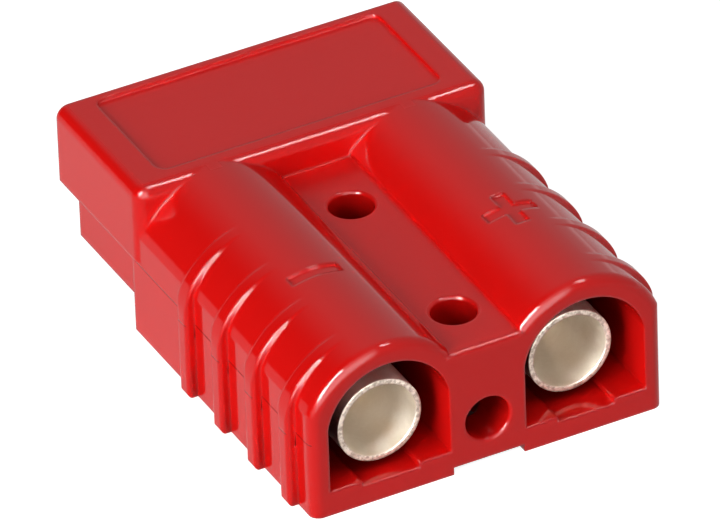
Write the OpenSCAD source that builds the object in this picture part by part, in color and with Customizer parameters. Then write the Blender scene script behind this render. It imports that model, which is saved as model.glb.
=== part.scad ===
// Two-pole genderless power connector. One moulded housing holds two crimp
// contacts and the two leaf springs behind their blades. The mating end is a
// hood over a tongue, so the housing mates with a copy of itself turned half a
// turn about the X direction at mid-height.
// +Y points out of the mating face, +Z is up, +X is the positive pole's side.
// The origin is at the middle of the underside.

/* [Housing] */
// Length from the wire face to the mating face
housing_l = 47.8; // [44:0.1:60]
// Height from the underside to the crowns of the lobes
height = 15.75; // [14:0.05:20]
// Width of the web between the two wire cavities
web_w = 7.4; // [6.8:0.1:10]
// Thickness of the outer side walls
side_wall = 1.7; // [1.4:0.1:2.5]
// Thickness over the crown of each wire cavity
crown_wall = 1.85; // [1.6:0.05:2.5]
// How far the crown radius exceeds half the width of a lobe
crown_extra = 0.6; // [0.3:0.05:2]
// Width of the flat floor of the pocket between the crowns
pocket_w = 7; // [6:0.1:9]
// Depth of that pocket below the crowns
pocket_d = 3.15; // [1.5:0.05:4]
// Height of the web above the underside
web_rise = 0.75; // [0.3:0.05:1.5]
// Radius round the rear edges of the lobes
rear_r = 1; // [0.3:0.1:1.3]
// Radius on the rear top edge of the web
web_edge_r = 0.4; // [0.2:0.1:0.8]

/* [Grip ribs] */
// Number of ribs on each side
rib_count = 4; // [1:1:4]
// Distance between ribs
rib_pitch = 6.35; // [4:0.05:6.8]
// Distance from the wire face to the middle of the first rib
rib_first = 3.8; // [3:0.1:6]
// Width of a rib
rib_w = 1.8; // [1.2:0.1:2.5]
// Height of a rib above the side wall
rib_h = 0.9; // [0.6:0.05:1.5]
// Radius on the edges of a rib
rib_edge_r = 0.4; // [0.2:0.05:0.5]
// Radius of the ribs' arc over the lobe
rib_r = 9.5; // [8.8:0.1:12]
// How far that arc stays below the crown
rib_drop = 0.04; // [0.02:0.02:0.3]

/* [Wire cavities] */
// Width of each wire cavity
cavity_w = 11.9; // [11.2:0.1:15]
// Depth of each wire cavity from the wire face
cavity_l = 17.5; // [17:0.1:22]
// Height of the ledges on the cavity floor
ledge_z = 2.45; // [2:0.05:3]
// Width of the groove between the ledges
groove_w = 5.6; // [3:0.1:8]
// Depth of that groove
groove_d = 0.5; // [0.2:0.05:1]
// How far the cavity's crown radius exceeds half its width
cavity_extra = 0.1; // [0.05:0.05:1]

/* [Holes] */
// Radius of the two screw holes through the web
screw_r = 2.05; // [1.5:0.05:2.4]
// Distance between the screw holes
screw_pitch = 19.05; // [12:0.05:20]
// Distance from the wire face to the nearer screw hole
screw_y = 6; // [5:0.1:8]
// Radius of the core hole in the wire face
core_r = 2.15; // [1:0.05:2.3]
// Height of the core hole's axis
core_z = 4.75; // [4:0.05:6]
// Depth of the core hole
core_l = 12; // [2:0.5:16]
// Radius on the rims of these holes
rim_r = 0.3; // [0.1:0.05:0.4]

/* [Mating end] */
// Length of the hood from its rear wall to the mating face
hood_l = 15.85; // [14:0.05:18]
// Length of the mating overlap
overlap = 13.8; // [12:0.1:15]
// How far the hood stands out beyond the lobes on each side
hood_step = 0.25; // [0.1:0.05:0.6]
// Thickness of the hood's side walls
hood_wall = 1.35; // [1.2:0.05:2]
// Thickness of the hood's roof
hood_roof = 1.65; // [1.3:0.05:2.2]
// Gap between a tongue and the hood that takes it
mate_gap = 0.2; // [0.1:0.05:0.4]
// Thickness of the wall between the two poles
divider_t = 2.6; // [1.6:0.1:3.4]
// Thickness of the rear wall of the mating chamber
chamber_wall = 2; // [1.2:0.1:2.4]
// How far the tongue stops short of the mating face
tongue_back = 0.5; // [0:0.1:2]
// Thickness of the tongue's floor
tongue_floor = 1.5; // [1:0.05:2]
// Thickness of the tongue's front wall
tongue_front = 1.2; // [0.8:0.1:2]
// Radius on the hood's long top edges, its rear edges and its rear corners
hood_r = 1.2; // [0.5:0.05:1.3]
// Radius on the inner corners of the mating chamber
chamber_r = 0.6; // [0.3:0.05:1]

/* [Label recess] */
// Width of the shallow recess on the roof
label_w = 28.4; // [10:0.1:31]
// Distance from its front edge to the mating face
label_front = 0.75; // [0.5:0.05:3]
// Distance from its rear edge to the hood's rear wall
label_rear = 2.2; // [1.4:0.1:4]
// Depth of the recess
label_d = 0.35; // [0.1:0.05:0.5]
// Radius of its corners
label_r = 1.1; // [0.5:0.1:2]

/* [Contacts] */
// Outside diameter of the crimp barrel
barrel_d = 8.2; // [7:0.1:9]
// Wall of the crimp barrel
barrel_wall = 0.5; // [0.4:0.05:1]
// Length of the crimp barrel
barrel_l = 13.6; // [10:0.1:14]
// Depth of the bore for the wire
bore_l = 12.4; // [8:0.1:12.8]
// Distance from the wire face to the barrel's mouth
barrel_in = 1.9; // [0.5:0.1:2.5]
// Clearance between the barrel and the ledges below it
barrel_lift = 0.3; // [0.1:0.05:0.6]
// Length of the neck between barrel and blade
neck_l = 4; // [3:0.1:6]
// Width of the blade
blade_w = 9.2; // [7:0.1:9.8]
// Thickness of the blade
blade_t = 2.2; // [1.5:0.1:2.4]
// Inside radius of the bend at the blade's tip
tip_r = 0.5; // [0.3:0.05:0.8]
// Length of the lip below that bend
lip_l = 1.3; // [0.8:0.1:1.6]
// Gap between the tip and the tongue's front wall
tip_gap = 1; // [1:0.1:1.8]
// Clearance between blade and housing on each side
blade_gap = 0.25; // [0.1:0.05:0.4]
// Clearance above the blade in its passage
passage_gap = 2.5; // [2.4:0.1:3]
// How far the loose positive contact has slid towards the mating face
float_in = 0.9; // [0:0.1:0.9]

/* [Springs] */
// Thickness of the leaf spring
leaf_t = 0.55; // [0.4:0.05:0.8]
// Width of the leaf spring
leaf_w = 6.2; // [4:0.1:8]
// Length of the spring's arch, measured flat
leaf_l = 20.4; // [16:0.2:22]
// Length of the spring's flat foot
foot_l = 2.8; // [1:0.1:3.5]
// Distance from the passage's rear end to that foot
foot_gap = 0.9; // [0.8:0.1:1.2]
// Gap between the spring and what it rests against
seat_gap = 0.03; // [0.01:0.01:0.1]

/* [Hidden] */
$fn = 96;

eps = 0.5;                                // overshoot of a cut beyond a face
mid_z = height / 2;                       // plane on which two blades meet
lobe_x = (cavity_w + web_w) / 2;          // axis of each pole
lobe_half = cavity_w / 2 + side_wall;     // from that axis to the side wall
body_half = lobe_x + lobe_half;
rib_out = body_half + rib_h;
crown_r = lobe_half + crown_extra;
crown_z = height - crown_r;
web_z = height - pocket_d;
web_start = atan2(web_z - crown_z, pocket_w / 2 - lobe_x);
side_start = acos(lobe_half / crown_r);
cavity_r = cavity_w / 2 + cavity_extra;
cavity_z = height - crown_wall;
rib_arc_z = height - rib_drop - rib_r;
rib_root = rib_h + side_wall / 2;

hood_y = housing_l - hood_l;
hood_half = body_half + hood_step;
chamber_y = hood_y + chamber_wall;
chamber_half = hood_half - hood_wall;
chamber_z = height - hood_roof;
lower_y = housing_l - overlap;
tongue_half = chamber_half - mate_gap;
tongue_slot = divider_t / 2 + mate_gap;
tongue_z = hood_roof + mate_gap;
tongue_y = housing_l - tongue_back;
trough_z = tongue_z + tongue_floor;
trough_y = tongue_y - tongue_front;
trough_half = blade_w / 2 + blade_gap;
passage_z = mid_z + passage_gap;

barrel_z = ledge_z + barrel_lift + barrel_d / 2;
barrel_y = barrel_in + barrel_l;
blade_y = barrel_y + neck_l;
blade_z = mid_z - blade_t;
tip_y = trough_y - tip_gap;
bend_y = tip_y - blade_t - tip_r;
bend_z = blade_z - tip_r;

leaf_top = blade_z - seat_gap;
leaf_floor = trough_z + seat_gap;
leaf_rise = leaf_top - leaf_t - leaf_floor;
leaf_half = leaf_l / 2;
leaf_in = (leaf_half * leaf_half + leaf_rise * leaf_rise) / (2 * leaf_rise);
leaf_r = leaf_in + leaf_t;
leaf_y = cavity_l + foot_gap + foot_l + leaf_half;

// Moves a model drawn from its wire face to the shared origin
module place() translate([0, -housing_l / 2, 0]) children();

// Extrudes an X-Z outline from y0 to y1
module along_y(y0, y1) translate([0, y1, 0]) rotate([90, 0, 0]) linear_extrude(y1 - y0) children();

// Extrudes a Y-Z outline over a width centred on x = 0
module along_x(w) translate([-w / 2, 0, 0]) rotate([90, 0, 90]) linear_extrude(w) children();

module both_sides() for (s = [0, 1]) mirror([s, 0, 0]) children();

// What a round on an outer corner at the origin takes away
module corner_waste(r) difference() {
    translate([-r, -r]) square(r + eps);
    translate([-r, -r]) circle(r);
}

// A straight or arched outline: a box of half width w whose top is an arc
module arched(w_in, w_out, z0, z1, r) intersection() {
    translate([-w_in, z0]) square([w_in + w_out, z1 - z0]);
    union() {
        translate([0, z1 - r]) circle(r);
        translate([-w_in, z0]) square([w_in + w_out, z1 - r - z0]);
    }
}

module rounded_box(w, l, r) union() {
    translate([-w / 2 + r, 0]) square([w - 2 * r, l]);
    translate([-w / 2, r]) square([w, l - 2 * r]);
    for (x = [-1, 1], y = [r, l - r]) translate([x * (w / 2 - r), y]) circle(r);
}

// Outline across a rib, from x0 out to a rounded edge at x1
module rib_profile(x0, x1) union() {
    translate([x0, -rib_w / 2]) square([x1 - x0 - rib_edge_r, rib_w]);
    translate([x0, rib_edge_r - rib_w / 2]) square([x1 - x0, rib_w - 2 * rib_edge_r]);
    for (s = [-1, 1]) translate([x1 - rib_edge_r, s * (rib_w / 2 - rib_edge_r)]) circle(rib_edge_r);
}

// An arc over the lobe's outer half, cut off upright at the rib's height
module rib() intersection() {
    union() {
        translate([lobe_x, 0, rib_arc_z]) rotate([90, 0, 0])
            rotate_extrude(angle = 90) rib_profile(rib_r - rib_root, rib_r);
        translate([body_half - rib_root, -rib_w / 2, 0]) cube([rib_r, rib_w, rib_arc_z]);
    }
    linear_extrude(height) rib_profile(lobe_x, rib_out);
}

// The lobes, the web between them and the ribs on their sides
module body() difference() {
    union() {
        along_y(0, lower_y) union() {
            both_sides() translate([lobe_x, 0])
                arched(lobe_x - pocket_w / 2, lobe_half, 0, height, crown_r);
            translate([-pocket_w / 2, web_rise]) square([pocket_w, web_z - web_rise]);
        }
        both_sides() for (i = [0 : rib_count - 1])
            translate([0, rib_first + i * rib_pitch, 0]) rib();
    }
    both_sides() {
        translate([lobe_x, 0, crown_z]) rotate([90, 0, 0]) rotate([0, 0, side_start])
            rotate_extrude(angle = web_start - side_start)
                translate([crown_r, 0]) corner_waste(rear_r);
        translate([body_half, 0, -eps]) mirror([0, 1, 0]) linear_extrude(height + 2 * eps)
            corner_waste(rear_r);
        translate([rib_out, 0, 0]) mirror([0, 0, 1]) along_y(rear_r + rib_edge_r, lower_y)
            corner_waste(rib_edge_r);
    }
    along_x(pocket_w) translate([0, web_z]) mirror([1, 0]) corner_waste(web_edge_r);
}

// A box closed by quarter rounds and ball corners, open towards the mating face
module hood() {
    hood_z = mid_z + mate_gap / 2;
    round_x = hood_half - hood_r;
    round_y = hood_y + hood_r;
    round_z = height - hood_r;
    union() {
        translate([-hood_half, round_y, hood_z])
            cube([2 * hood_half, housing_l - round_y, round_z - hood_z]);
        translate([-round_x, hood_y, hood_z])
            cube([2 * round_x, housing_l - hood_y, round_z - hood_z]);
        translate([-round_x, round_y, hood_z])
            cube([2 * round_x, housing_l - round_y, height - hood_z]);
        along_x(2 * round_x) translate([round_y, round_z]) circle(hood_r);
        both_sides() {
            along_y(round_y, housing_l) translate([round_x, round_z]) circle(hood_r);
            translate([round_x, round_y, hood_z]) cylinder(r = hood_r, h = round_z - hood_z);
            translate([round_x, round_y, round_z]) sphere(hood_r);
        }
    }
}

// The two shelves that carry the blades, with the slot for the other divider
module tongue() both_sides() translate([tongue_slot, chamber_y, tongue_z])
    cube([tongue_half - tongue_slot, tongue_y - chamber_y, mid_z - mate_gap / 2 - tongue_z]);

module wire_cavity() union() {
    along_y(-eps, cavity_l) arched(cavity_w / 2, cavity_w / 2, ledge_z, cavity_z, cavity_r);
    translate([-groove_w / 2, -eps, ledge_z - groove_d]) cube([groove_w, cavity_l + eps, 2 * groove_d]);
}

module blade_passage() translate([-trough_half, cavity_l - eps, trough_z])
    union() {
        cube([2 * trough_half, chamber_y - cavity_l + 2 * eps, passage_z - trough_z]);
        cube([2 * trough_half, trough_y - cavity_l + eps, mid_z - trough_z]);
    }

// Room over the blades for the other connector's tongue
module mating_chamber() along_y(chamber_y, housing_l + eps) union() {
    floor_z = mid_z - mate_gap / 2;
    translate([divider_t / 2, floor_z])
        square([chamber_half - divider_t / 2, chamber_z - chamber_r - floor_z]);
    translate([divider_t / 2, floor_z])
        square([chamber_half - divider_t / 2 - chamber_r, chamber_z - floor_z]);
    translate([chamber_half - chamber_r, chamber_z - chamber_r]) circle(chamber_r);
}

// A round hole down from z = 0 whose rim is rounded
module rimmed_hole(r, l) union() {
    translate([0, 0, -l]) cylinder(r = r, h = l + eps);
    rotate_extrude() translate([r, 0]) difference() {
        translate([-r, -rim_r]) square([r + rim_r, rim_r + eps]);
        translate([rim_r, -rim_r]) circle(rim_r);
    }
}

module housing() color("firebrick") place() difference() {
    union() {
        body();
        hood();
        tongue();
    }
    both_sides() {
        translate([lobe_x, 0, 0]) wire_cavity();
        translate([lobe_x, 0, 0]) blade_passage();
        mating_chamber();
    }
    for (i = [0, 1]) translate([0, screw_y + i * screw_pitch, web_z]) rimmed_hole(screw_r, height);
    translate([0, 0, core_z]) rotate([90, 0, 0]) rimmed_hole(core_r, core_l);
    translate([0, hood_y + label_rear, height - label_d]) linear_extrude(label_d + eps)
        rounded_box(label_w, hood_l - label_rear - label_front, label_r);
}

// Crimp barrel, neck and blade, formed from one piece
module contact(side, slide) color("silver") place() translate([side * lobe_x, slide, 0]) union() {
    translate([0, barrel_in, barrel_z]) rotate([-90, 0, 0]) difference() {
        cylinder(d = barrel_d, h = barrel_l);
        translate([0, 0, -eps]) cylinder(d = barrel_d - 2 * barrel_wall, h = bore_l + eps);
    }
    intersection() {
        along_x(blade_w) polygon([
            [barrel_y, barrel_z - barrel_d / 2], [blade_y, blade_z],
            [blade_y, mid_z], [barrel_y, barrel_z + barrel_d / 2]]);
        linear_extrude(height) polygon([
            [-barrel_d / 2, barrel_y], [barrel_d / 2, barrel_y],
            [blade_w / 2, blade_y], [-blade_w / 2, blade_y]]);
        translate([0, barrel_y, barrel_z]) rotate([-90, 0, 0])
            cylinder(r = blade_w / 2 + blade_gap, h = neck_l);
    }
    along_x(blade_w) union() {
        translate([blade_y, blade_z]) square([bend_y - blade_y, blade_t]);
        translate([bend_y, bend_z]) intersection() {
            difference() {
                circle(tip_r + blade_t);
                circle(tip_r);
            }
            square(tip_r + blade_t);
        }
        translate([bend_y + tip_r, bend_z - lip_l]) square([blade_t, lip_l]);
    }
}

// Arched leaf with a flat foot, standing on the trough floor under the blade
module spring(side) color("gray") place() translate([side * lobe_x, 0, 0]) along_x(leaf_w) union() {
    translate([leaf_y, leaf_top - leaf_r]) intersection() {
        difference() {
            circle(leaf_r, $fn = 360);
            circle(leaf_in, $fn = 360);
        }
        translate([-leaf_half, 0]) square([2 * leaf_half, leaf_r + eps]);
    }
    translate([leaf_y - leaf_half - foot_l, leaf_floor]) square([foot_l + leaf_t / 2, leaf_t]);
}

module contact_positive() contact(1, float_in);
module contact_negative() contact(-1, 0);
module spring_positive() spring(1);
module spring_negative() spring(-1);

housing();
contact_positive();
contact_negative();
spring_positive();
spring_negative();
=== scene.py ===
"""Looks of a two-pole genderless power connector: red housing, silver crimp contacts and leaf springs.

The contacts and springs keep their CAD shape and get their finish here. The housing is a copy of its CAD
mesh, with the polarity signs sunk into the lobes and the corners of the ribs eased.
Everything is in metres: +Y points out of the mating face, +Z is up, +X is the positive pole's side.
"""
import math

import bmesh
import bpy
from mathutils import Matrix, Vector
from mathutils.kdtree import KDTree


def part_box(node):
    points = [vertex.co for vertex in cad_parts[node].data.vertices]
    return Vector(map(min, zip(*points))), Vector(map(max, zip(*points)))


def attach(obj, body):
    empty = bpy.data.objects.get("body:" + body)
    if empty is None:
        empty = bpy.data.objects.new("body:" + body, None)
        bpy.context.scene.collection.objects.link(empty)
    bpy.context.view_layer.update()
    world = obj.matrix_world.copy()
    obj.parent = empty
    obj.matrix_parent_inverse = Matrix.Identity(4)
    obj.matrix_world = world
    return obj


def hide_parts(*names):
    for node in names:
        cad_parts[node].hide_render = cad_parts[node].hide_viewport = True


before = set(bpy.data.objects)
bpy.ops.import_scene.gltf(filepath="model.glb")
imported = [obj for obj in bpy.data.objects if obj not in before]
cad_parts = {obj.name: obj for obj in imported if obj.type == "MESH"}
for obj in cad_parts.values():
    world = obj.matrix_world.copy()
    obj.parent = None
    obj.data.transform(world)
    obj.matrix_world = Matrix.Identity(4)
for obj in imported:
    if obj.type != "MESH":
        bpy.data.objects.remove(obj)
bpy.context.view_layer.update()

MM = 0.001
low, high = (Vector(corner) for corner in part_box("housing"))
WIRE_FACE = low.y
MATING_FACE = high.y
TOP = high.z
MID_HEIGHT = TOP / 2

# Sizes of the housing that the finishes and the signs follow
POLE_X = 9.65 * MM
CAVITY_HALF = 5.95 * MM
CROWN_RADIUS = 8.25 * MM
CROWN_Z = TOP - CROWN_RADIUS
WEB_HALF = 3.5 * MM
WEB_TOP = TOP - 3.15 * MM
HOOD_START = MATING_FACE - 15.85 * MM

# The ribs' upright sides run into the arcs over the lobes through a round of this radius
RIB_OUT = high.x
RIB_ARC_RADIUS = 9.5 * MM
RIB_ARC_Z = TOP - 9.54 * MM
RIB_EASE = 6.0 * MM
EASE_X = RIB_OUT - RIB_EASE
EASE_Z = RIB_ARC_Z + math.sqrt((RIB_ARC_RADIUS - RIB_EASE) ** 2 - (EASE_X - POLE_X) ** 2)
RIBS_START = WIRE_FACE + 2.5 * MM
RIBS_END = WIRE_FACE + 24.1 * MM
EASE_STEPS = 16
CUTTER_CLEAR = 1.0 * MM

# The signs
SIGN_LENGTH = 4.9 * MM
SIGN_WIDTH = 1.35 * MM
SIGN_DEPTH = 0.25 * MM
SIGN_Y = WIRE_FACE + 13.4 * MM
SIGN_STEPS = 41
SIGN_FILLET = 0.7
FILLET_STEPS = 4
NARROWEST = 0.03

# Corners nearer than this are one corner of the mesh
SAME_SPOT = 0.0005 * MM
# Normals with a larger cosine between them belong to one surface
SAME_SURFACE = 0.99


# ---------------------------------------------------------------- node helpers

EDGE_SAMPLES = 6
RECESS_SAMPLES = 8


def add(tree, kind, place, **settings):
    node = tree.nodes.new(kind)
    node.location = place
    for name, value in settings.items():
        setattr(node, name, value)
    return node


def feed(tree, socket, value):
    """Links a socket to another node's output, or sets it to a plain value."""
    if isinstance(value, bpy.types.NodeSocket):
        tree.links.new(value, socket)
    elif value is not None:
        socket.default_value = value


def math_node(tree, place, operation, *values, clamp=False):
    node = add(tree, "ShaderNodeMath", place, operation=operation, use_clamp=clamp)
    for socket, value in zip(node.inputs, values):
        feed(tree, socket, value)
    return node.outputs[0]


def ramp(tree, place, value, start, stop, level_start, level_stop, easing="LINEAR"):
    """Goes from one level to another as the value goes from start to stop, and stays level beyond them."""
    node = add(tree, "ShaderNodeMapRange", place, interpolation_type=easing)
    for socket, number in zip(node.inputs[:5], (value, start, stop, level_start, level_stop)):
        feed(tree, socket, number)
    return node.outputs[0]


def mixed_value(tree, place, factor, a, b):
    node = add(tree, "ShaderNodeMix", place, data_type="FLOAT")
    feed(tree, node.inputs[0], factor)
    feed(tree, node.inputs[2], a)
    feed(tree, node.inputs[3], b)
    return node.outputs[0]


def mixed_colour(tree, place, factor, a, b):
    node = add(tree, "ShaderNodeMix", place, data_type="RGBA")
    feed(tree, node.inputs[0], factor)
    feed(tree, node.inputs[6], a)
    feed(tree, node.inputs[7], b)
    return node.outputs[2]


def object_spot(tree, place):
    return add(tree, "ShaderNodeTexCoord", place).outputs["Object"]


def split_vector(tree, place, vector):
    node = add(tree, "ShaderNodeSeparateXYZ", place)
    tree.links.new(vector, node.inputs[0])
    return node.outputs


def true_normal(tree, place):
    return add(tree, "ShaderNodeNewGeometry", place).outputs["True Normal"]


def bump(tree, place, height, distance, normal=None, invert=False):
    node = add(tree, "ShaderNodeBump", place, invert=invert)
    node.inputs["Distance"].default_value = distance
    tree.links.new(height, node.inputs["Height"])
    feed(tree, node.inputs["Normal"], normal)
    return node.outputs[0]


def rounded_edges(tree, place, radius):
    node = add(tree, "ShaderNodeBevel", place, samples=EDGE_SAMPLES)
    node.inputs["Radius"].default_value = radius
    return node.outputs[0]


# ---------------------------------------------------------------- node groups that the finishes share

# A face looks up, or sideways, where that part of its normal is larger than this
LOOKS_UP = 0.995
LOOKS_SIDEWAYS = 0.8
TOP_MARGIN = 0.1 * MM


def new_group(name, inputs, output):
    """A shader node group with float inputs, given as (name, default) pairs, and one float output."""
    group = bpy.data.node_groups.new(name, "ShaderNodeTree")
    for title, value in inputs:
        socket = group.interface.new_socket(title, in_out="INPUT", socket_type="NodeSocketFloat")
        socket.default_value = value
    group.interface.new_socket(output, in_out="OUTPUT", socket_type="NodeSocketFloat")
    start = add(group, "NodeGroupInput", (-1200, 0))
    end = add(group, "NodeGroupOutput", (600, 0))
    return group, start.outputs, end.inputs


def fine_grain_group():
    """Surface height of two octaves of noise: the slow ripple of a moulding and the tooth of its skin."""
    group, given, result = new_group(
        "Fine grain", [("Ripple Scale", 180.0), ("Grain Scale", 6000.0), ("Grain Share", 0.3)], "Height")
    spot = object_spot(group, (-900, 300))
    heights = []
    for name, detail, place in (("Ripple Scale", 1.0, (-500, 200)), ("Grain Scale", 3.0, (-500, -100))):
        noise = add(group, "ShaderNodeTexNoise", place)
        noise.inputs["Detail"].default_value = detail
        group.links.new(spot, noise.inputs["Vector"])
        group.links.new(given[name], noise.inputs["Scale"])
        heights.append(noise.outputs["Fac"])
    share = math_node(group, (-200, -100), "MULTIPLY", heights[1], given["Grain Share"])
    feed(group, result["Height"], math_node(group, (100, 0), "ADD", heights[0], share))
    return group


def level_band_group():
    """1 within a band of heights on outer faces that look sideways, fading out over its soft edge."""
    group, given, result = new_group(
        "Level band",
        [("Height", 0.0), ("Half Width", 0.0001), ("Soft Edge", 0.0001), ("Beyond X", 0.016)], "Mask")
    spot = split_vector(group, (-650, 200), object_spot(group, (-900, 300)))
    facing = split_vector(group, (-650, -200), true_normal(group, (-900, -200)))
    away = math_node(group, (-400, 200), "SUBTRACT", spot["Z"], given["Height"])
    away = math_node(group, (-250, 200), "ABSOLUTE", away)
    away = math_node(group, (-100, 200), "SUBTRACT", away, given["Half Width"])
    away = math_node(group, (50, 200), "DIVIDE", away, given["Soft Edge"])
    inside = math_node(group, (200, 200), "SUBTRACT", 1.0, away, clamp=True)
    tilt = math_node(group, (-400, -200), "ABSOLUTE", facing["X"])
    sideways = math_node(group, (-200, -200), "GREATER_THAN", tilt, LOOKS_SIDEWAYS)
    outboard = math_node(group, (-400, 0), "ABSOLUTE", spot["X"])
    outboard = math_node(group, (-200, 0), "GREATER_THAN", outboard, given["Beyond X"])
    outside = math_node(group, (0, -100), "MULTIPLY", sideways, outboard)
    feed(group, result["Mask"], math_node(group, (400, 0), "MULTIPLY", inside, outside))
    return group


def flat_top_group():
    """1 on faces that look straight up and are above a height, inside the web or on the hood."""
    group, given, result = new_group(
        "Flat tops", [("Web Top", 0.013), ("Web Half", 0.0035), ("Hood Start", 0.0)], "Mask")
    spot = split_vector(group, (-650, 200), object_spot(group, (-900, 300)))
    facing = split_vector(group, (-650, -200), true_normal(group, (-900, -200)))
    up = math_node(group, (-400, -200), "GREATER_THAN", facing["Z"], LOOKS_UP)
    margin = math_node(group, (-400, 0), "SUBTRACT", given["Web Top"], TOP_MARGIN)
    high_up = math_node(group, (-200, 0), "GREATER_THAN", spot["Z"], margin)
    inboard = math_node(group, (-400, 300), "ABSOLUTE", spot["X"])
    on_web = math_node(group, (-200, 300), "LESS_THAN", inboard, given["Web Half"])
    on_hood = math_node(group, (-200, 150), "GREATER_THAN", spot["Y"], given["Hood Start"])
    either = math_node(group, (0, 200), "MAXIMUM", on_web, on_hood)
    both = math_node(group, (150, 0), "MULTIPLY", up, high_up)
    feed(group, result["Mask"], math_node(group, (300, 0), "MULTIPLY", either, both))
    return group


def recess_shade_group():
    """1 where other walls stand within reach, as in a hole, a gap or a cavity, fading to 0 in the open; the
    materials darken their colour with it, as painted shade.
    """
    group, given, result = new_group("Recess", [("Reach", 0.005), ("Shut", 0.2), ("Open", 0.6)], "Mask")
    around = add(group, "ShaderNodeAmbientOcclusion", (-500, 0), samples=RECESS_SAMPLES)
    group.links.new(given["Reach"], around.inputs["Distance"])
    walled = ramp(group, (0, 0), around.outputs["AO"], given["Shut"], given["Open"], 1.0, 0.0)
    feed(group, result["Mask"], walled)
    return group


FINE_GRAIN = fine_grain_group()
LEVEL_BAND = level_band_group()
FLAT_TOPS = flat_top_group()
RECESS_SHADE = recess_shade_group()


def place_group(tree, group, place, **values):
    node = add(tree, "ShaderNodeGroup", place, node_tree=group)
    for title, value in values.items():
        node.inputs[title.replace("_", " ")].default_value = value
    return node.outputs[0]


# ---------------------------------------------------------------- materials

RED = (0.66, 0.006, 0.005, 1)
# Darker red for the parting line's real seam and for painted shade in recesses
SEAM_AND_SHADE_RED = (0.26, 0.002, 0.0015, 1)
RECESS_REACH = 9 * MM
EDGE_ROUND = 0.42 * MM
GLOSS_ROUGHNESS = 0.07
SATIN_ROUGHNESS = 0.3
PARTING_Z = MID_HEIGHT - 0.25 * MM
PARTING_DEPTH = 0.03 * MM
RIPPLE_DEPTH = 0.012 * MM
TOOTH_DEPTH = 0.004 * MM

DULL_SILVER = (0.86, 0.77, 0.64, 1)
BRIGHT_SILVER = (0.96, 0.89, 0.78, 1)
SILVER_RANGE = (0.35, 1.0)
SILVER_ROUGHNESS = (0.34, 0.5)
MOTTLE_RANGE = (0.3, 1.1)
MOTTLE_DEPTH = 0.05 * MM
# Painted shade: the plating's colour where the recess mask closes, as around the barrels in their cavities
SHADED_METAL = (0.06, 0.012, 0.01, 1)
GAP_REACH = 3 * MM
BARREL_EDGE_ROUND = 0.25 * MM

WORN_COPPER = (0.36, 0.28, 0.22, 1)
SPECK_SCALE = 3200.0
SPECK_DETAIL = 3.0
SPECK_RANGE = (0.4, 0.62)
WEAR_SHARE = (0.25, 0.9)
LOOKS_REARWARD = -0.7

STEEL = (0.58, 0.58, 0.59, 1)
STREAK_SCALE = 9000.0
STREAK_STRETCH = (1.0, 0.03, 1.0)
STREAK_DEPTH = 0.003 * MM
STEEL_ROUGHNESS = (0.22, 0.4)


def new_material(name):
    material = bpy.data.materials.new(name)
    material.use_nodes = True
    tree = material.node_tree
    return material, tree, tree.nodes["Principled BSDF"]


def red_polycarbonate():
    """Glossy plastic, satin on the flat tops, with a darker parting line at mid-height and painted shade that
    darkens the red in recesses.
    """
    material, tree, shader = new_material("red polycarbonate")
    shader.inputs["IOR"].default_value = 1.52
    shader.inputs["Specular IOR Level"].default_value = 0.24
    tops = place_group(tree, FLAT_TOPS, (-900, 100), Web_Top=WEB_TOP, Web_Half=WEB_HALF,
                       Hood_Start=HOOD_START)
    line = place_group(tree, LEVEL_BAND, (-900, -150), Height=PARTING_Z, Half_Width=0.02 * MM,
                       Soft_Edge=0.05 * MM, Beyond_X=POLE_X + CAVITY_HALF + 0.5 * MM)
    ripple = place_group(tree, FINE_GRAIN, (-900, -400), Ripple_Scale=160.0, Grain_Scale=7000.0,
                         Grain_Share=0.04)
    tooth = place_group(tree, FINE_GRAIN, (-900, -650), Ripple_Scale=9000.0, Grain_Scale=4200.0,
                        Grain_Share=1.0)
    # Painted shade: the recess mask darkens the red in holes, gaps and cavities
    painted_shade = place_group(tree, RECESS_SHADE, (-900, 500), Reach=RECESS_REACH, Shut=0.12, Open=0.5)

    roughness = mixed_value(tree, (-300, 100), tops, GLOSS_ROUGHNESS, SATIN_ROUGHNESS)
    tree.links.new(roughness, shader.inputs["Roughness"])
    seam_and_shade = math_node(tree, (-500, 400), "MAXIMUM", line, painted_shade)
    colour = mixed_colour(tree, (-300, 350), seam_and_shade, RED, SEAM_AND_SHADE_RED)
    tree.links.new(colour, shader.inputs["Base Color"])

    normal = rounded_edges(tree, (-700, -850), EDGE_ROUND)
    normal = bump(tree, (-450, -350), ripple, RIPPLE_DEPTH, normal)
    satin = math_node(tree, (-450, -600), "MULTIPLY", tooth, tops)
    normal = bump(tree, (-250, -450), satin, TOOTH_DEPTH, normal)
    normal = bump(tree, (-50, -450), line, PARTING_DEPTH, normal, invert=True)
    tree.links.new(normal, shader.inputs["Normal"])
    return material


def worn_rims(tree, plate):
    """The plating, with specks of copper on faces that look out of the wire side: the barrels' rims."""
    facing = split_vector(tree, (-1100, 700), true_normal(tree, (-1300, 700)))
    rim = math_node(tree, (-900, 700), "LESS_THAN", facing["Y"], LOOKS_REARWARD)
    specks = add(tree, "ShaderNodeTexNoise", (-1100, 950))
    specks.inputs["Scale"].default_value = SPECK_SCALE
    specks.inputs["Detail"].default_value = SPECK_DETAIL
    tree.links.new(object_spot(tree, (-1300, 950)), specks.inputs["Vector"])
    wear = ramp(tree, (-900, 950), specks.outputs["Fac"], *SPECK_RANGE, *WEAR_SHARE)
    wear = math_node(tree, (-700, 800), "MULTIPLY", rim, wear)
    return mixed_colour(tree, (-400, 200), wear, plate, WORN_COPPER)


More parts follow.
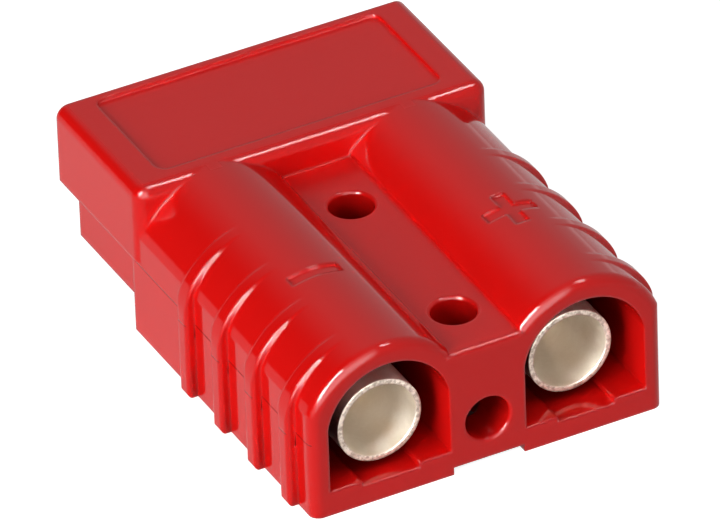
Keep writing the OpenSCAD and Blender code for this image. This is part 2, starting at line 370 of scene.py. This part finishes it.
def silver_plate():
    """Satin silver plating over copper: slightly warm, mottled, worn at the rims, and darkened by painted
    shade in narrow gaps.
    """
    material, tree, shader = new_material("silver plate")
    shader.inputs["Metallic"].default_value = 0.9
    mottle = place_group(tree, FINE_GRAIN, (-900, 0), Ripple_Scale=420.0, Grain_Scale=2600.0, Grain_Share=0.5)
    # Painted shade: darkens the plating in narrow gaps
    gap = place_group(tree, RECESS_SHADE, (-600, 500), Reach=GAP_REACH, Shut=0.45, Open=0.75)
    tint = add(tree, "ShaderNodeValToRGB", (-700, 200))
    for stop, position, colour in zip(tint.color_ramp.elements, SILVER_RANGE, (DULL_SILVER, BRIGHT_SILVER)):
        stop.position = position
        stop.color = colour
    tree.links.new(mottle, tint.inputs[0])
    colour = mixed_colour(tree, (-200, 300), gap, worn_rims(tree, tint.outputs[0]), SHADED_METAL)
    tree.links.new(colour, shader.inputs["Base Color"])
    roughness = ramp(tree, (-600, -50), mottle, *MOTTLE_RANGE, *SILVER_ROUGHNESS)
    tree.links.new(roughness, shader.inputs["Roughness"])
    normal = rounded_edges(tree, (-600, -450), BARREL_EDGE_ROUND)
    normal = bump(tree, (-300, -300), mottle, MOTTLE_DEPTH, normal)
    tree.links.new(normal, shader.inputs["Normal"])
    return material


def spring_steel():
    """Rolled stainless strip with a grain along its length."""
    material, tree, shader = new_material("spring steel")
    shader.inputs["Metallic"].default_value = 1.0
    shader.inputs["Base Color"].default_value = STEEL
    stretch = add(tree, "ShaderNodeMapping", (-900, 0))
    stretch.inputs["Scale"].default_value = STREAK_STRETCH
    tree.links.new(object_spot(tree, (-1100, 0)), stretch.inputs[0])
    streaks = add(tree, "ShaderNodeTexNoise", (-700, 0))
    streaks.inputs["Scale"].default_value = STREAK_SCALE
    tree.links.new(stretch.outputs[0], streaks.inputs["Vector"])
    grain = streaks.outputs["Fac"]
    tree.links.new(ramp(tree, (-450, 0), grain, 0.0, 1.0, *STEEL_ROUGHNESS), shader.inputs["Roughness"])
    tree.links.new(bump(tree, (-300, -250), grain, STREAK_DEPTH), shader.inputs["Normal"])
    return material


red = red_polycarbonate()
silver = silver_plate()
steel = spring_steel()
for name, finish in (("contact_positive", silver), ("contact_negative", silver),
                     ("spring_positive", steel), ("spring_negative", steel)):
    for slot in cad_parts[name].material_slots:
        slot.material = finish


# ---------------------------------------------------------------- polarity signs

def geo(tree, kind, place, **settings):
    return add(tree, "GeometryNode" + kind, place, **settings)


def centred_line(tree, place, axis, back, front):
    """A straight curve along one axis."""
    line = geo(tree, "CurvePrimitiveLine", place)
    for value, socket in ((back, "Start"), (front, "End")):
        point = add(tree, "ShaderNodeCombineXYZ", (place[0] - 180, place[1]))
        tree.links.new(value, point.inputs[axis])
        tree.links.new(point.outputs[0], line.inputs[socket])
    return line.outputs[0]


def pill_width(tree, half, width):
    """How wide a bar is along its length: 1, narrowing in a round over half its width at each end."""
    along = geo(tree, "SplineParameter", (-500, -300)).outputs["Factor"]
    reach = math_node(tree, (-350, -300), "MULTIPLY_ADD", along, 2.0, -1.0)
    reach = math_node(tree, (-200, -300), "ABSOLUTE", reach)
    reach = math_node(tree, (-50, -300), "MULTIPLY", reach, half)
    end_round = math_node(tree, (-350, -450), "MULTIPLY", width, 0.5)
    straight = math_node(tree, (-200, -450), "SUBTRACT", half, end_round)
    past = math_node(tree, (100, -350), "SUBTRACT", reach, straight)
    past = math_node(tree, (250, -350), "DIVIDE", past, end_round, clamp=True)
    past = math_node(tree, (400, -350), "MULTIPLY", past, past)
    left = math_node(tree, (550, -350), "SUBTRACT", 1.0, past, clamp=True)
    left = math_node(tree, (700, -350), "SQRT", left)
    return math_node(tree, (850, -350), "MAXIMUM", left, NARROWEST)


def spot_on_crown(tree, centre, crown_axis, crown_radius):
    """Where a point of a flat bar lands when the bar is moved to its centre and bent over the crown."""
    moved = add(tree, "ShaderNodeVectorMath", (-100, 350), operation="ADD")
    tree.links.new(geo(tree, "InputPosition", (-300, 400)).outputs[0], moved.inputs[0])
    tree.links.new(centre, moved.inputs[1])
    placed = split_vector(tree, (100, 200), moved.outputs[0])
    axis = split_vector(tree, (100, 600), crown_axis)
    across = math_node(tree, (250, 450), "SUBTRACT", placed["X"], axis["X"])
    across = math_node(tree, (400, 450), "MULTIPLY", across, across)
    radius_squared = math_node(tree, (400, 300), "MULTIPLY", crown_radius, crown_radius)
    rise = math_node(tree, (550, 400), "SUBTRACT", radius_squared, across)
    rise = math_node(tree, (700, 400), "SQRT", rise)
    target = add(tree, "ShaderNodeCombineXYZ", (950, 250))
    tree.links.new(placed["X"], target.inputs["X"])
    tree.links.new(placed["Y"], target.inputs["Y"])
    tree.links.new(math_node(tree, (850, 450), "ADD", rise, axis["Z"]), target.inputs["Z"])
    return target.outputs[0]


def sign_tree():
    """Bars that follow the crown, half sunk into it: one across it, and one along it for the plus sign."""
    tree = bpy.data.node_groups.new("Polarity sign", "GeometryNodeTree")
    for title, kind in (("Length", "Float"), ("Width", "Float"), ("Depth", "Float"),
                        ("Crown Radius", "Float"), ("Crown Axis", "Vector"), ("Centre", "Vector"),
                        ("Cross", "Bool"), ("Finish", "Material")):
        tree.interface.new_socket(title, in_out="INPUT", socket_type="NodeSocket" + kind)
    tree.interface.new_socket("Geometry", in_out="OUTPUT", socket_type="NodeSocketGeometry")
    given = add(tree, "NodeGroupInput", (-1600, 0)).outputs
    result = add(tree, "NodeGroupOutput", (1500, 0)).inputs
    link = tree.links.new
    half = math_node(tree, (-1400, 0), "MULTIPLY", given["Length"], 0.5)
    back = math_node(tree, (-1250, 0), "MULTIPLY", half, -1.0)

    choose = geo(tree, "Switch", (-700, -100), input_type="GEOMETRY")
    link(given["Cross"], choose.inputs["Switch"])
    link(centred_line(tree, (-900, -100), "Y", back, half), choose.inputs["True"])
    join = geo(tree, "JoinGeometry", (-500, 100))
    link(choose.outputs[0], join.inputs[0])
    link(centred_line(tree, (-900, 200), "X", back, half), join.inputs[0])
    fine = geo(tree, "ResampleCurve", (-300, 100))
    fine.inputs["Count"].default_value = SIGN_STEPS
    link(join.outputs[0], fine.inputs["Curve"])

    bend = geo(tree, "SetPosition", (1000, 100))
    link(fine.outputs[0], bend.inputs["Geometry"])
    on_crown = spot_on_crown(tree, given["Centre"], given["Crown Axis"], given["Crown Radius"])
    link(on_crown, bend.inputs["Position"])
    upright = geo(tree, "SetCurveNormal", (1000, 0), mode="Z_UP")
    link(bend.outputs[0], upright.inputs["Curve"])
    taper = geo(tree, "SetCurveRadius", (1000, -150))
    link(upright.outputs[0], taper.inputs["Curve"])
    link(pill_width(tree, half, given["Width"]), taper.inputs["Radius"])

    outline = geo(tree, "CurvePrimitiveQuadrilateral", (700, -600))
    link(given["Width"], outline.inputs["Width"])
    link(math_node(tree, (500, -600), "MULTIPLY", given["Depth"], 2.0), outline.inputs["Height"])
    soften = geo(tree, "FilletCurve", (900, -600), mode="POLY")
    soften.inputs["Count"].default_value = FILLET_STEPS
    link(math_node(tree, (700, -750), "MULTIPLY", given["Depth"], SIGN_FILLET), soften.inputs["Radius"])
    link(outline.outputs[0], soften.inputs["Curve"])
    sweep = geo(tree, "CurveToMesh", (1100, -300))
    sweep.inputs["Fill Caps"].default_value = True
    link(taper.outputs[0], sweep.inputs["Curve"])
    link(soften.outputs[0], sweep.inputs["Profile Curve"])
    real = geo(tree, "RealizeInstances", (1250, 0))
    link(sweep.outputs[0], real.inputs[0])
    finish = geo(tree, "SetMaterial", (1350, 0))
    link(real.outputs[0], finish.inputs["Geometry"])
    link(given["Finish"], finish.inputs["Material"])
    link(finish.outputs[0], result[0])
    return tree


SIGN_TREE = sign_tree()


def new_object(name, mesh):
    made = bpy.data.objects.new(name, mesh)
    bpy.context.collection.objects.link(made)
    return made


def sign_cutter(name, pole_x, cross):
    """The bars of one sign, where they cut into a lobe."""
    cutter = new_object(name, bpy.data.meshes.new(name))
    sweep = cutter.modifiers.new("Sign", "NODES")
    sweep.node_group = SIGN_TREE
    values = {
        "Length": SIGN_LENGTH, "Width": SIGN_WIDTH, "Depth": SIGN_DEPTH, "Crown Radius": CROWN_RADIUS,
        "Crown Axis": (pole_x, 0.0, CROWN_Z), "Centre": (pole_x, SIGN_Y, 0.0), "Cross": cross, "Finish": red,
    }
    for item in SIGN_TREE.interface.items_tree:
        if item.name in values:
            sweep[item.identifier] = values[item.name]
    return cutter


# ---------------------------------------------------------------- housing

def rib_cutter(name, side):
    """A bar along the ribs of one side, hollow towards them, that takes off the corner below each arc."""
    stop = math.atan2(EASE_Z - RIB_ARC_Z, EASE_X - POLE_X)
    angles = [stop * i / EASE_STEPS for i in range(EASE_STEPS + 1)]
    outline = [(EASE_X + RIB_EASE * math.cos(a), EASE_Z + RIB_EASE * math.sin(a)) for a in angles]
    last_x, last_z = outline[-1]
    clear_z = last_z + CUTTER_CLEAR * math.sin(stop)
    outline += [(last_x + CUTTER_CLEAR * math.cos(stop), clear_z), (RIB_OUT + CUTTER_CLEAR, clear_z),
                (RIB_OUT + CUTTER_CLEAR, EASE_Z)]
    shape = bmesh.new()
    ends = [[shape.verts.new((side * x, y, z)) for x, z in outline] for y in (RIBS_START, RIBS_END)]
    for end in ends:
        shape.faces.new(end)
    for i in range(len(outline)):
        after = (i + 1) % len(outline)
        shape.faces.new((ends[0][i], ends[0][after], ends[1][after], ends[1][i]))
    bmesh.ops.recalc_face_normals(shape, faces=shape.faces)
    cutter = new_object(name, bpy.data.meshes.new(name))
    shape.to_mesh(cutter.data)
    shape.free()
    return cutter


def cut(piece, cutters):
    """Takes the cutters out of the piece and leaves it a plain mesh."""
    for cutter in cutters:
        bite = piece.modifiers.new(cutter.name, "BOOLEAN")
        bite.operation = "DIFFERENCE"
        bite.solver = "EXACT"
        bite.use_self = cutter.name == "plus_cutter"
        bite.object = cutter
    bpy.context.view_layer.update()
    evaluated = piece.evaluated_get(bpy.context.evaluated_depsgraph_get())
    mesh = bpy.data.meshes.new_from_object(evaluated)
    piece.modifiers.clear()
    piece.data = mesh
    for cutter in cutters:
        bpy.data.objects.remove(cutter)


def round_normal(spot, facing):
    """The smooth normal on a crown, a sign's floor or an eased rib, and the face's own normal elsewhere."""
    rounds = [Vector((spot.x - math.copysign(x, spot.x), 0.0, spot.z - z)).normalized()
              for x, z in ((POLE_X, CROWN_Z), (EASE_X, EASE_Z))]
    radial = max(rounds, key=lambda direction: direction.dot(facing))
    return radial if radial.dot(facing) > SAME_SURFACE else facing.copy()


def moulded_normals(mesh, cad_mesh):
    """The CAD surface's own normal at each corner that the cuts left alone, and round_normal at new ones."""
    face_normals = [polygon.normal.copy() for polygon in cad_mesh.polygons for _ in polygon.loop_indices]
    corner_normals = [Vector(corner.vector) for corner in cad_mesh.corner_normals]
    corners = KDTree(len(cad_mesh.loops))
    for loop in cad_mesh.loops:
        corners.insert(cad_mesh.vertices[loop.vertex_index].co, loop.index)
    corners.balance()
    normals = [None] * len(mesh.loops)
    for polygon in mesh.polygons:
        for index in polygon.loop_indices:
            spot = mesh.vertices[mesh.loops[index].vertex_index].co
            same = [hit[1] for hit in corners.find_range(spot, SAME_SPOT)]
            best = max(same, key=lambda corner: face_normals[corner].dot(polygon.normal), default=None)
            kept = best is not None and face_normals[best].dot(polygon.normal) > SAME_SURFACE
            normals[index] = corner_normals[best] if kept else round_normal(spot, polygon.normal)
    return normals


def housing_with_signs():
    """The housing with its signs sunk and its ribs eased; it stands for the plain CAD housing."""
    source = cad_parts["housing"]
    mesh = source.data.copy()
    shape = bmesh.new()
    shape.from_mesh(mesh)
    bmesh.ops.remove_doubles(shape, verts=shape.verts, dist=SAME_SPOT)
    shape.to_mesh(mesh)
    shape.free()
    piece = new_object("housing_with_signs", mesh)
    cut(piece, [sign_cutter("plus_cutter", POLE_X, True), sign_cutter("minus_cutter", -POLE_X, False),
                rib_cutter("right_rib_cutter", 1), rib_cutter("left_rib_cutter", -1)])
    piece.data.normals_split_custom_set(moulded_normals(piece.data, source.data))
    piece.data.materials.clear()
    piece.data.materials.append(red)
    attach(piece, "root")
    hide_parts("housing")


housing_with_signs()


# ---------------------------------------------------------------- table, dome and lamps

# The table is lit as well, so half its glow is enough to make it white in reflections
TABLE_GLOW = 0.9
GLOSS_SHARE = 0.5
TABLE_GREY = (0.5, 0.5, 0.5, 1)
TABLE_HALF = 1.5
TABLE_LEVEL = -0.02 * MM
# Half sizes and middle of the strip under the screw holes, which doesn't glow: painted shadow under the web,
# seen through the holes
PAINTED_SHADOW_HALF_SIZE = Vector((3 * MM, 13 * MM))
HOLES_MIDDLE_Y = WIRE_FACE + 16.9 * MM

WORLD_LIGHT = 0.205
DOME_RADIUS = 1.2
DOME_FINENESS = 4
RIM_DROP = 0.01 * DOME_RADIUS
# Soft ramps over the dome, as a share of its radius: axis, start, stop, level at the start, level at the stop
SCRIM = ("X", -0.5, 0.15, 0.0, 0.7)
HORIZON = ("Z", 0.25, 0.0, 0.0, 1.0)
RIGHT_HALF = ("X", 0.2, 0.6, 0.0, 1.2)
BEHIND = ("Y", -0.1, -0.45, 0.0, 2.8)
LOW_BEHIND = ("Y", -0.55, -0.8, 0.0, 5.5)
LEFT_HALF = ("X", 0.3, 0.1, 0.0, 1.0)
# Bright cards on the dome, as a share of its radius: from x to x, from y to y, level
CARDS = (
    (-0.88, -0.44, -0.48, -0.32, 150.0),
    (0.28, 0.47, -0.24, -0.06, 42.0),
)
CARD_EDGE = 0.03

LAMP_DISTANCE = 0.7
LAMP_SIZE = 0.4
# Name, direction and power of each lamp
LAMPS = (
    ("key", (-0.875, -0.33, 0.36), 4.25),
    ("right_fill", (0.8, -0.2, 0.55), 1.2),
    ("rear_fill", (-0.37, -0.73, 0.57), 0.6),
)


def seen_directly(tree, place, gloss_share):
    """1 for rays from the camera and refracted ones, and a share of 1 for reflected ones."""
    path = add(tree, "ShaderNodeLightPath", place).outputs
    below = (place[0] + 100, place[1] - 200)
    reflected = math_node(tree, below, "MULTIPLY", path["Is Glossy Ray"], gloss_share)
    seen = math_node(tree, (place[0] + 200, place[1]), "MAXIMUM", path["Is Camera Ray"], reflected)
    return math_node(tree, (place[0] + 400, place[1]), "MAXIMUM", seen, path["Is Transmission Ray"])


def stage_material(name):
    material = bpy.data.materials.new(name)
    material.use_nodes = True
    material.node_tree.nodes.clear()
    return material, material.node_tree


def white_table():
    """White table that goes to pure white where it is lit and keeps a soft shadow; a strip under the screw
    holes doesn't glow, as painted shadow.
    """
    material, tree = stage_material("white table")
    diffuse = add(tree, "ShaderNodeBsdfDiffuse", (0, 200))
    diffuse.inputs["Color"].default_value = TABLE_GREY
    spot = split_vector(tree, (-1000, -300), object_spot(tree, (-1200, -300)))
    beside = math_node(tree, (-800, -200), "ABSOLUTE", spot["X"])
    beside = math_node(tree, (-600, -200), "GREATER_THAN", beside, PAINTED_SHADOW_HALF_SIZE.x)
    before = math_node(tree, (-950, -400), "SUBTRACT", spot["Y"], HOLES_MIDDLE_Y)
    before = math_node(tree, (-800, -400), "ABSOLUTE", before)
    before = math_node(tree, (-600, -400), "GREATER_THAN", before, PAINTED_SHADOW_HALF_SIZE.y)
    # Painted shadow: the glow is off in the strip under the web
    clear = math_node(tree, (-400, -250), "MAXIMUM", beside, before)
    open_table = math_node(tree, (-200, -100), "MULTIPLY", seen_directly(tree, (-800, 0), GLOSS_SHARE), clear)
    glow = add(tree, "ShaderNodeEmission", (0, 0))
    tree.links.new(math_node(tree, (-50, -50), "MULTIPLY", open_table, TABLE_GLOW), glow.inputs["Strength"])
    both = add(tree, "ShaderNodeAddShader", (250, 100))
    tree.links.new(diffuse.outputs[0], both.inputs[0])
    tree.links.new(glow.outputs[0], both.inputs[1])
    tree.links.new(both.outputs[0], add(tree, "ShaderNodeOutputMaterial", (450, 100)).inputs[0])
    mesh = bpy.data.meshes.new("table")
    corners = [(x * TABLE_HALF, y * TABLE_HALF, TABLE_LEVEL) for x, y in ((-1, -1), (1, -1), (1, 1), (-1, 1))]
    mesh.from_pydata(corners, [], [(0, 1, 2, 3)])
    mesh.materials.append(material)
    new_object("table", mesh)


def card(tree, place, part, x0, x1, y0, y1, brightness):
    """Light from one rectangle of the dome, with soft edges."""
    level = brightness
    for axis, start, stop in (("X", x0, x1), ("Y", y0, y1)):
        for bound, inward in ((start, CARD_EDGE), (stop, -CARD_EDGE)):
            inside = ramp(tree, (place[0] - 250, place[1]), part[axis], bound, bound + inward, 0.0, 1.0,
                          "SMOOTHSTEP")
            level = math_node(tree, place, "MULTIPLY", inside, level)
    return level


def dome_light(tree, part):
    """Grey scrim overhead, light low on the right, light behind on the left, and the cards."""
    def soft(place, axis, *levels):
        return ramp(tree, place, part[axis], *levels, "SMOOTHSTEP")

    overhead = soft((-450, 200), *SCRIM)
    low_right = math_node(tree, (-250, -100), "MULTIPLY", soft((-450, 0), *HORIZON),
                          soft((-450, -200), *RIGHT_HALF))
    front = math_node(tree, (-100, 100), "MAXIMUM", overhead, low_right)
    behind = math_node(tree, (-250, -450), "ADD", soft((-450, -400), *BEHIND),
                       soft((-450, -500), *LOW_BEHIND))
    behind = math_node(tree, (-100, -450), "MULTIPLY", behind, soft((-450, -600), *LEFT_HALF))
    total = math_node(tree, (0, -100), "MAXIMUM", front, behind)
    for i, sides in enumerate(CARDS):
        light = card(tree, (-200, -800 - 200 * i), part, *sides)
        total = math_node(tree, (150 + 150 * i, -200), "MAXIMUM", total, light)
    return total


def studio_dome():
    """What reflections show above the table; no other ray sees it."""
    material, tree = stage_material("studio dome")
    outwards = add(tree, "ShaderNodeVectorMath", (-900, 0), operation="NORMALIZE")
    tree.links.new(object_spot(tree, (-1100, 0)), outwards.inputs[0])
    glow = add(tree, "ShaderNodeEmission", (600, 0))
    light = dome_light(tree, split_vector(tree, (-700, 0), outwards.outputs[0]))
    tree.links.new(light, glow.inputs["Strength"])
    tree.links.new(glow.outputs[0], add(tree, "ShaderNodeOutputMaterial", (800, 0)).inputs[0])
    mesh = bpy.data.meshes.new("studio_dome")
    shape = bmesh.new()
    bmesh.ops.create_icosphere(shape, subdivisions=DOME_FINENESS, radius=DOME_RADIUS)
    below = [corner for corner in shape.verts if corner.co.z < -RIM_DROP]
    bmesh.ops.delete(shape, geom=below, context="VERTS")
    shape.to_mesh(mesh)
    shape.free()
    mesh.materials.append(material)
    dome = new_object("studio_dome", mesh)
    for kind in ("camera", "diffuse", "shadow", "transmission"):
        setattr(dome, "visible_" + kind, False)


def softbox(name, towards, power):
    """A square lamp in the given direction, aimed at the origin; reflections show the dome in its place."""
    out = Vector(towards).normalized()
    data = bpy.data.lights.new(name, "AREA")
    data.shape = "SQUARE"
    data.size = LAMP_SIZE
    data.energy = power
    lamp = new_object(name, data)
    lamp.location = out * LAMP_DISTANCE
    lamp.rotation_euler = out.to_track_quat("Z", "Y").to_euler()
    lamp.visible_camera = False
    lamp.visible_glossy = False


def studio_world():
    world = bpy.data.worlds.new("studio")
    world.use_nodes = True
    tree = world.node_tree
    background = tree.nodes["Background"]
    background.inputs["Color"].default_value = (1, 1, 1, 1)
    strength = mixed_value(tree, (-250, 0), seen_directly(tree, (-900, 0), 1.0), WORLD_LIGHT, 1.0)
    tree.links.new(strength, background.inputs["Strength"])
    bpy.context.scene.world = world


white_table()
studio_world()
studio_dome()
for name, towards, power in LAMPS:
    softbox(name, towards, power)


# ---------------------------------------------------------------- camera

SENSOR_WIDTH = 36.0
NEAREST = 0.01
FARTHEST = 20.0


def frame_camera(target, azimuth, elevation, roll, distance, lens):
    """Looks at the target from behind and above; azimuth 0 looks along +Y and grows towards +X."""
    az, el = math.radians(azimuth), math.radians(elevation)
    forward = Vector((math.sin(az) * math.cos(el), math.cos(az) * math.cos(el), -math.sin(el)))
    turn = forward.to_track_quat("-Z", "Y").to_matrix().to_4x4() @ Matrix.Rotation(math.radians(roll), 4, "Z")
    data = bpy.data.cameras.new("camera")
    data.sensor_width = SENSOR_WIDTH
    data.lens = lens
    data.clip_start = NEAREST
    data.clip_end = FARTHEST
    camera = new_object("camera", data)
    camera.matrix_world = Matrix.Translation(Vector(target) - forward * distance) @ turn
    bpy.context.scene.camera = camera


frame_camera(target=(-1.477 * MM, -3.090 * MM, 9.709 * MM), azimuth=26.634, elevation=34.203, roll=-2.112,
             distance=1.1396, lens=648.4)
bpy.context.scene.view_settings.view_transform = "Standard"
